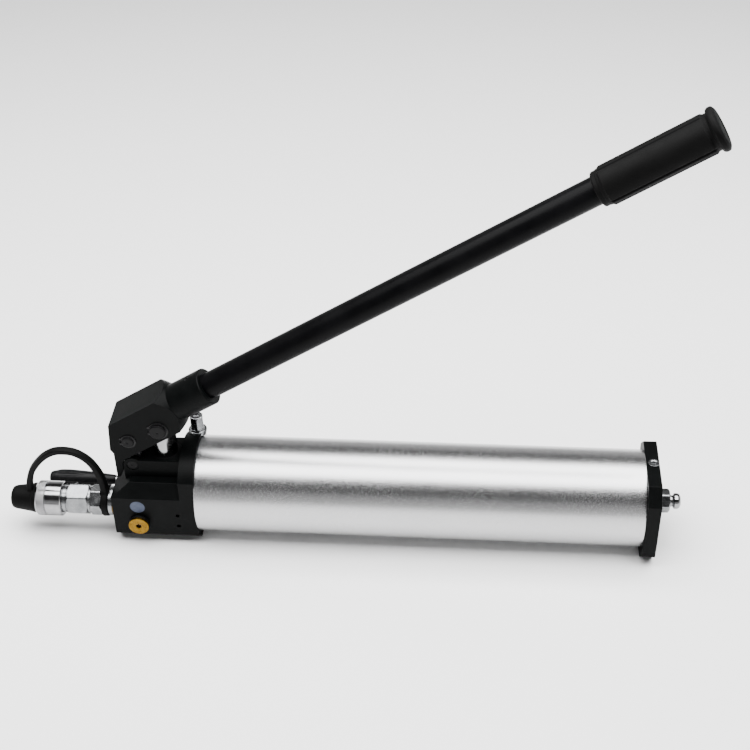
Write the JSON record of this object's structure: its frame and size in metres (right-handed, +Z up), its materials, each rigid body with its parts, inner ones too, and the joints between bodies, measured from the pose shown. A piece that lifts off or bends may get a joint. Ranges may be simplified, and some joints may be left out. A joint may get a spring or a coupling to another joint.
{
  "type": "hydraulic hand pump",
  "caption": "Hand-operated hydraulic pump with a raised lever, a round oil reservoir, a hose coupler with a dust cap and a release valve",
  "frame": {"origin": "centre of the pump head's underside, on the surface the pump stands on", "axes": "+X along the reservoir, from the head to the end cap; +Z up; the hose coupler points to -X"},
  "size_m": [0.6955, 0.1, 0.4919],
  "materials": {
    "black_anodised": "black hard-anodised aluminium",
    "satin_aluminium": "satin turned aluminium",
    "black_paint": "black semi-gloss paint",
    "plated_steel": "plated steel",
    "black_steel": "black-oxide steel",
    "polished_steel": "ground and polished steel",
    "bare_steel": "machined steel",
    "spring_steel": "spring steel",
    "brass": "turned brass",
    "bronze": "bearing bronze",
    "seal_rubber": "nitrile rubber",
    "moulded_rubber": "matt moulded rubber",
    "knob_plastic": "black moulded plastic"
  },
  "bodies": {
    "pump_body": {"cap_o_ring": "seal_rubber", "cap_screw": "plated_steel", "cap_strap": "moulded_rubber", "coupler_body": "plated_steel", "coupler_spring": "spring_steel", "end_cap": "black_anodised", "end_nut": "plated_steel", "end_washer": "seal_rubber", "filler_plug": "plated_steel", "filler_washer": "seal_rubber", "head_o_ring": "seal_rubber", "inlet_seat": "bare_steel", "inlet_spring": "spring_steel", "link_pin": "black_steel", "outlet_nipple": "plated_steel", "outlet_seal_ring": "brass", "outlet_spring": "spring_steel", "port_plug": "plated_steel", "pump_head": "black_anodised", "release_gland": "plated_steel", "relief_plug": "brass", "relief_spring": "spring_steel", "reservoir_tube": "satin_aluminium", "rod_guide_bush": "bronze", "rod_seal": "seal_rubber", "rod_wiper": "seal_rubber", "suction_pipe": "bare_steel", "suction_strainer": "spring_steel", "tie_rod": "bare_steel"},
    "plunger": {"plunger_rod": "polished_steel", "piston_ring": "seal_rubber"},
    "link": {"fulcrum_link": "bare_steel"},
    "lever": {"lever_block": "black_anodised", "fulcrum_pin": "black_steel", "plunger_pin": "black_steel", "pin_clips": "spring_steel", "socket_grub_screw": "spring_steel", "lever_tube": "black_paint", "lever_grip": "moulded_rubber"},
    "release_valve": {"release_needle": "bare_steel", "release_knob": "knob_plastic", "release_knob_pin": "bare_steel"},
    "collar": {"coupler_collar": "polished_steel"},
    "cap": {"dust_cap": "moulded_rubber"},
    "vent": {"vent_cap": "polished_steel"},
    "poppet": {"coupler_poppet": "bare_steel"},
    "inlet_check": {"inlet_ball": "bare_steel"},
    "outlet_check": {"outlet_ball": "bare_steel"},
    "relief_valve": {"relief_poppet": "bare_steel"}
  },
  "joints": [
    {"name": "link_swing", "type": "hinge", "parent": "pump_body", "child": "link", "pos_m": [-0.022, 0, 0.088], "axis": [0, 1, 0], "range_deg": [-7.6, 0]},
    {"name": "lever_swing", "type": "hinge", "parent": "link", "child": "lever", "pos_m": [-0.0225, 0, 0.1205], "axis": [0, 1, 0], "range_deg": [0, 36]},
    {"name": "plunger_stroke", "type": "slide", "parent": "pump_body", "child": "plunger", "axis": [0, 0, -1], "range_m": [0, 0.0178]},
    {"name": "release_turn", "type": "hinge", "parent": "pump_body", "child": "release_valve", "pos_m": [-0.08, 0.02, 0.031], "axis": [-1, 0, 0], "range_deg": [0, 360]},
    {"name": "collar_turn", "type": "hinge", "parent": "pump_body", "child": "collar", "pos_m": [-0.114, -0.02, 0.0385], "axis": [1, 0, 0], "continuous": true},
    {"name": "cap_pull", "type": "slide", "parent": "pump_body", "child": "cap", "axis": [-1, 0, 0], "range_m": [0, 0.02], "deforming": ["cap_strap"]},
    {"name": "vent_turn", "type": "hinge", "parent": "pump_body", "child": "vent", "pos_m": [0.53, 0, 0.048], "axis": [1, 0, 0], "range_deg": [0, 360]},
    {"name": "poppet_push", "type": "slide", "parent": "pump_body", "child": "poppet", "axis": [1, 0, 0], "range_m": [0, 0.004], "stiffness_N_per_m": 400, "springref_m": -0.004, "deforming": ["coupler_spring"]},
    {"name": "inlet_check_lift", "type": "slide", "parent": "pump_body", "child": "inlet_check", "axis": [-1, 0, 0], "range_m": [0, 0.001], "stiffness_N_per_m": 100, "springref_m": -0.002, "deforming": ["inlet_spring"]},
    {"name": "outlet_check_lift", "type": "slide", "parent": "pump_body", "child": "outlet_check", "axis": [-1, 0, 0], "range_m": [0, 0.001], "stiffness_N_per_m": 100, "springref_m": -0.002, "deforming": ["outlet_spring"]},
    {"name": "relief_lift", "type": "slide", "parent": "pump_body", "child": "relief_valve", "axis": [0, -1, 0], "range_m": [0, 0.001], "stiffness_N_per_m": 2000, "springref_m": -0.002, "deforming": ["relief_spring"]}
  ],
  "couplings": [
    {"joint": "link_swing", "follows": "lever_swing", "ratio": -0.207},
    {"joint": "plunger_stroke", "follows": "lever_swing", "m_per_rad": 0.028}
  ]
}
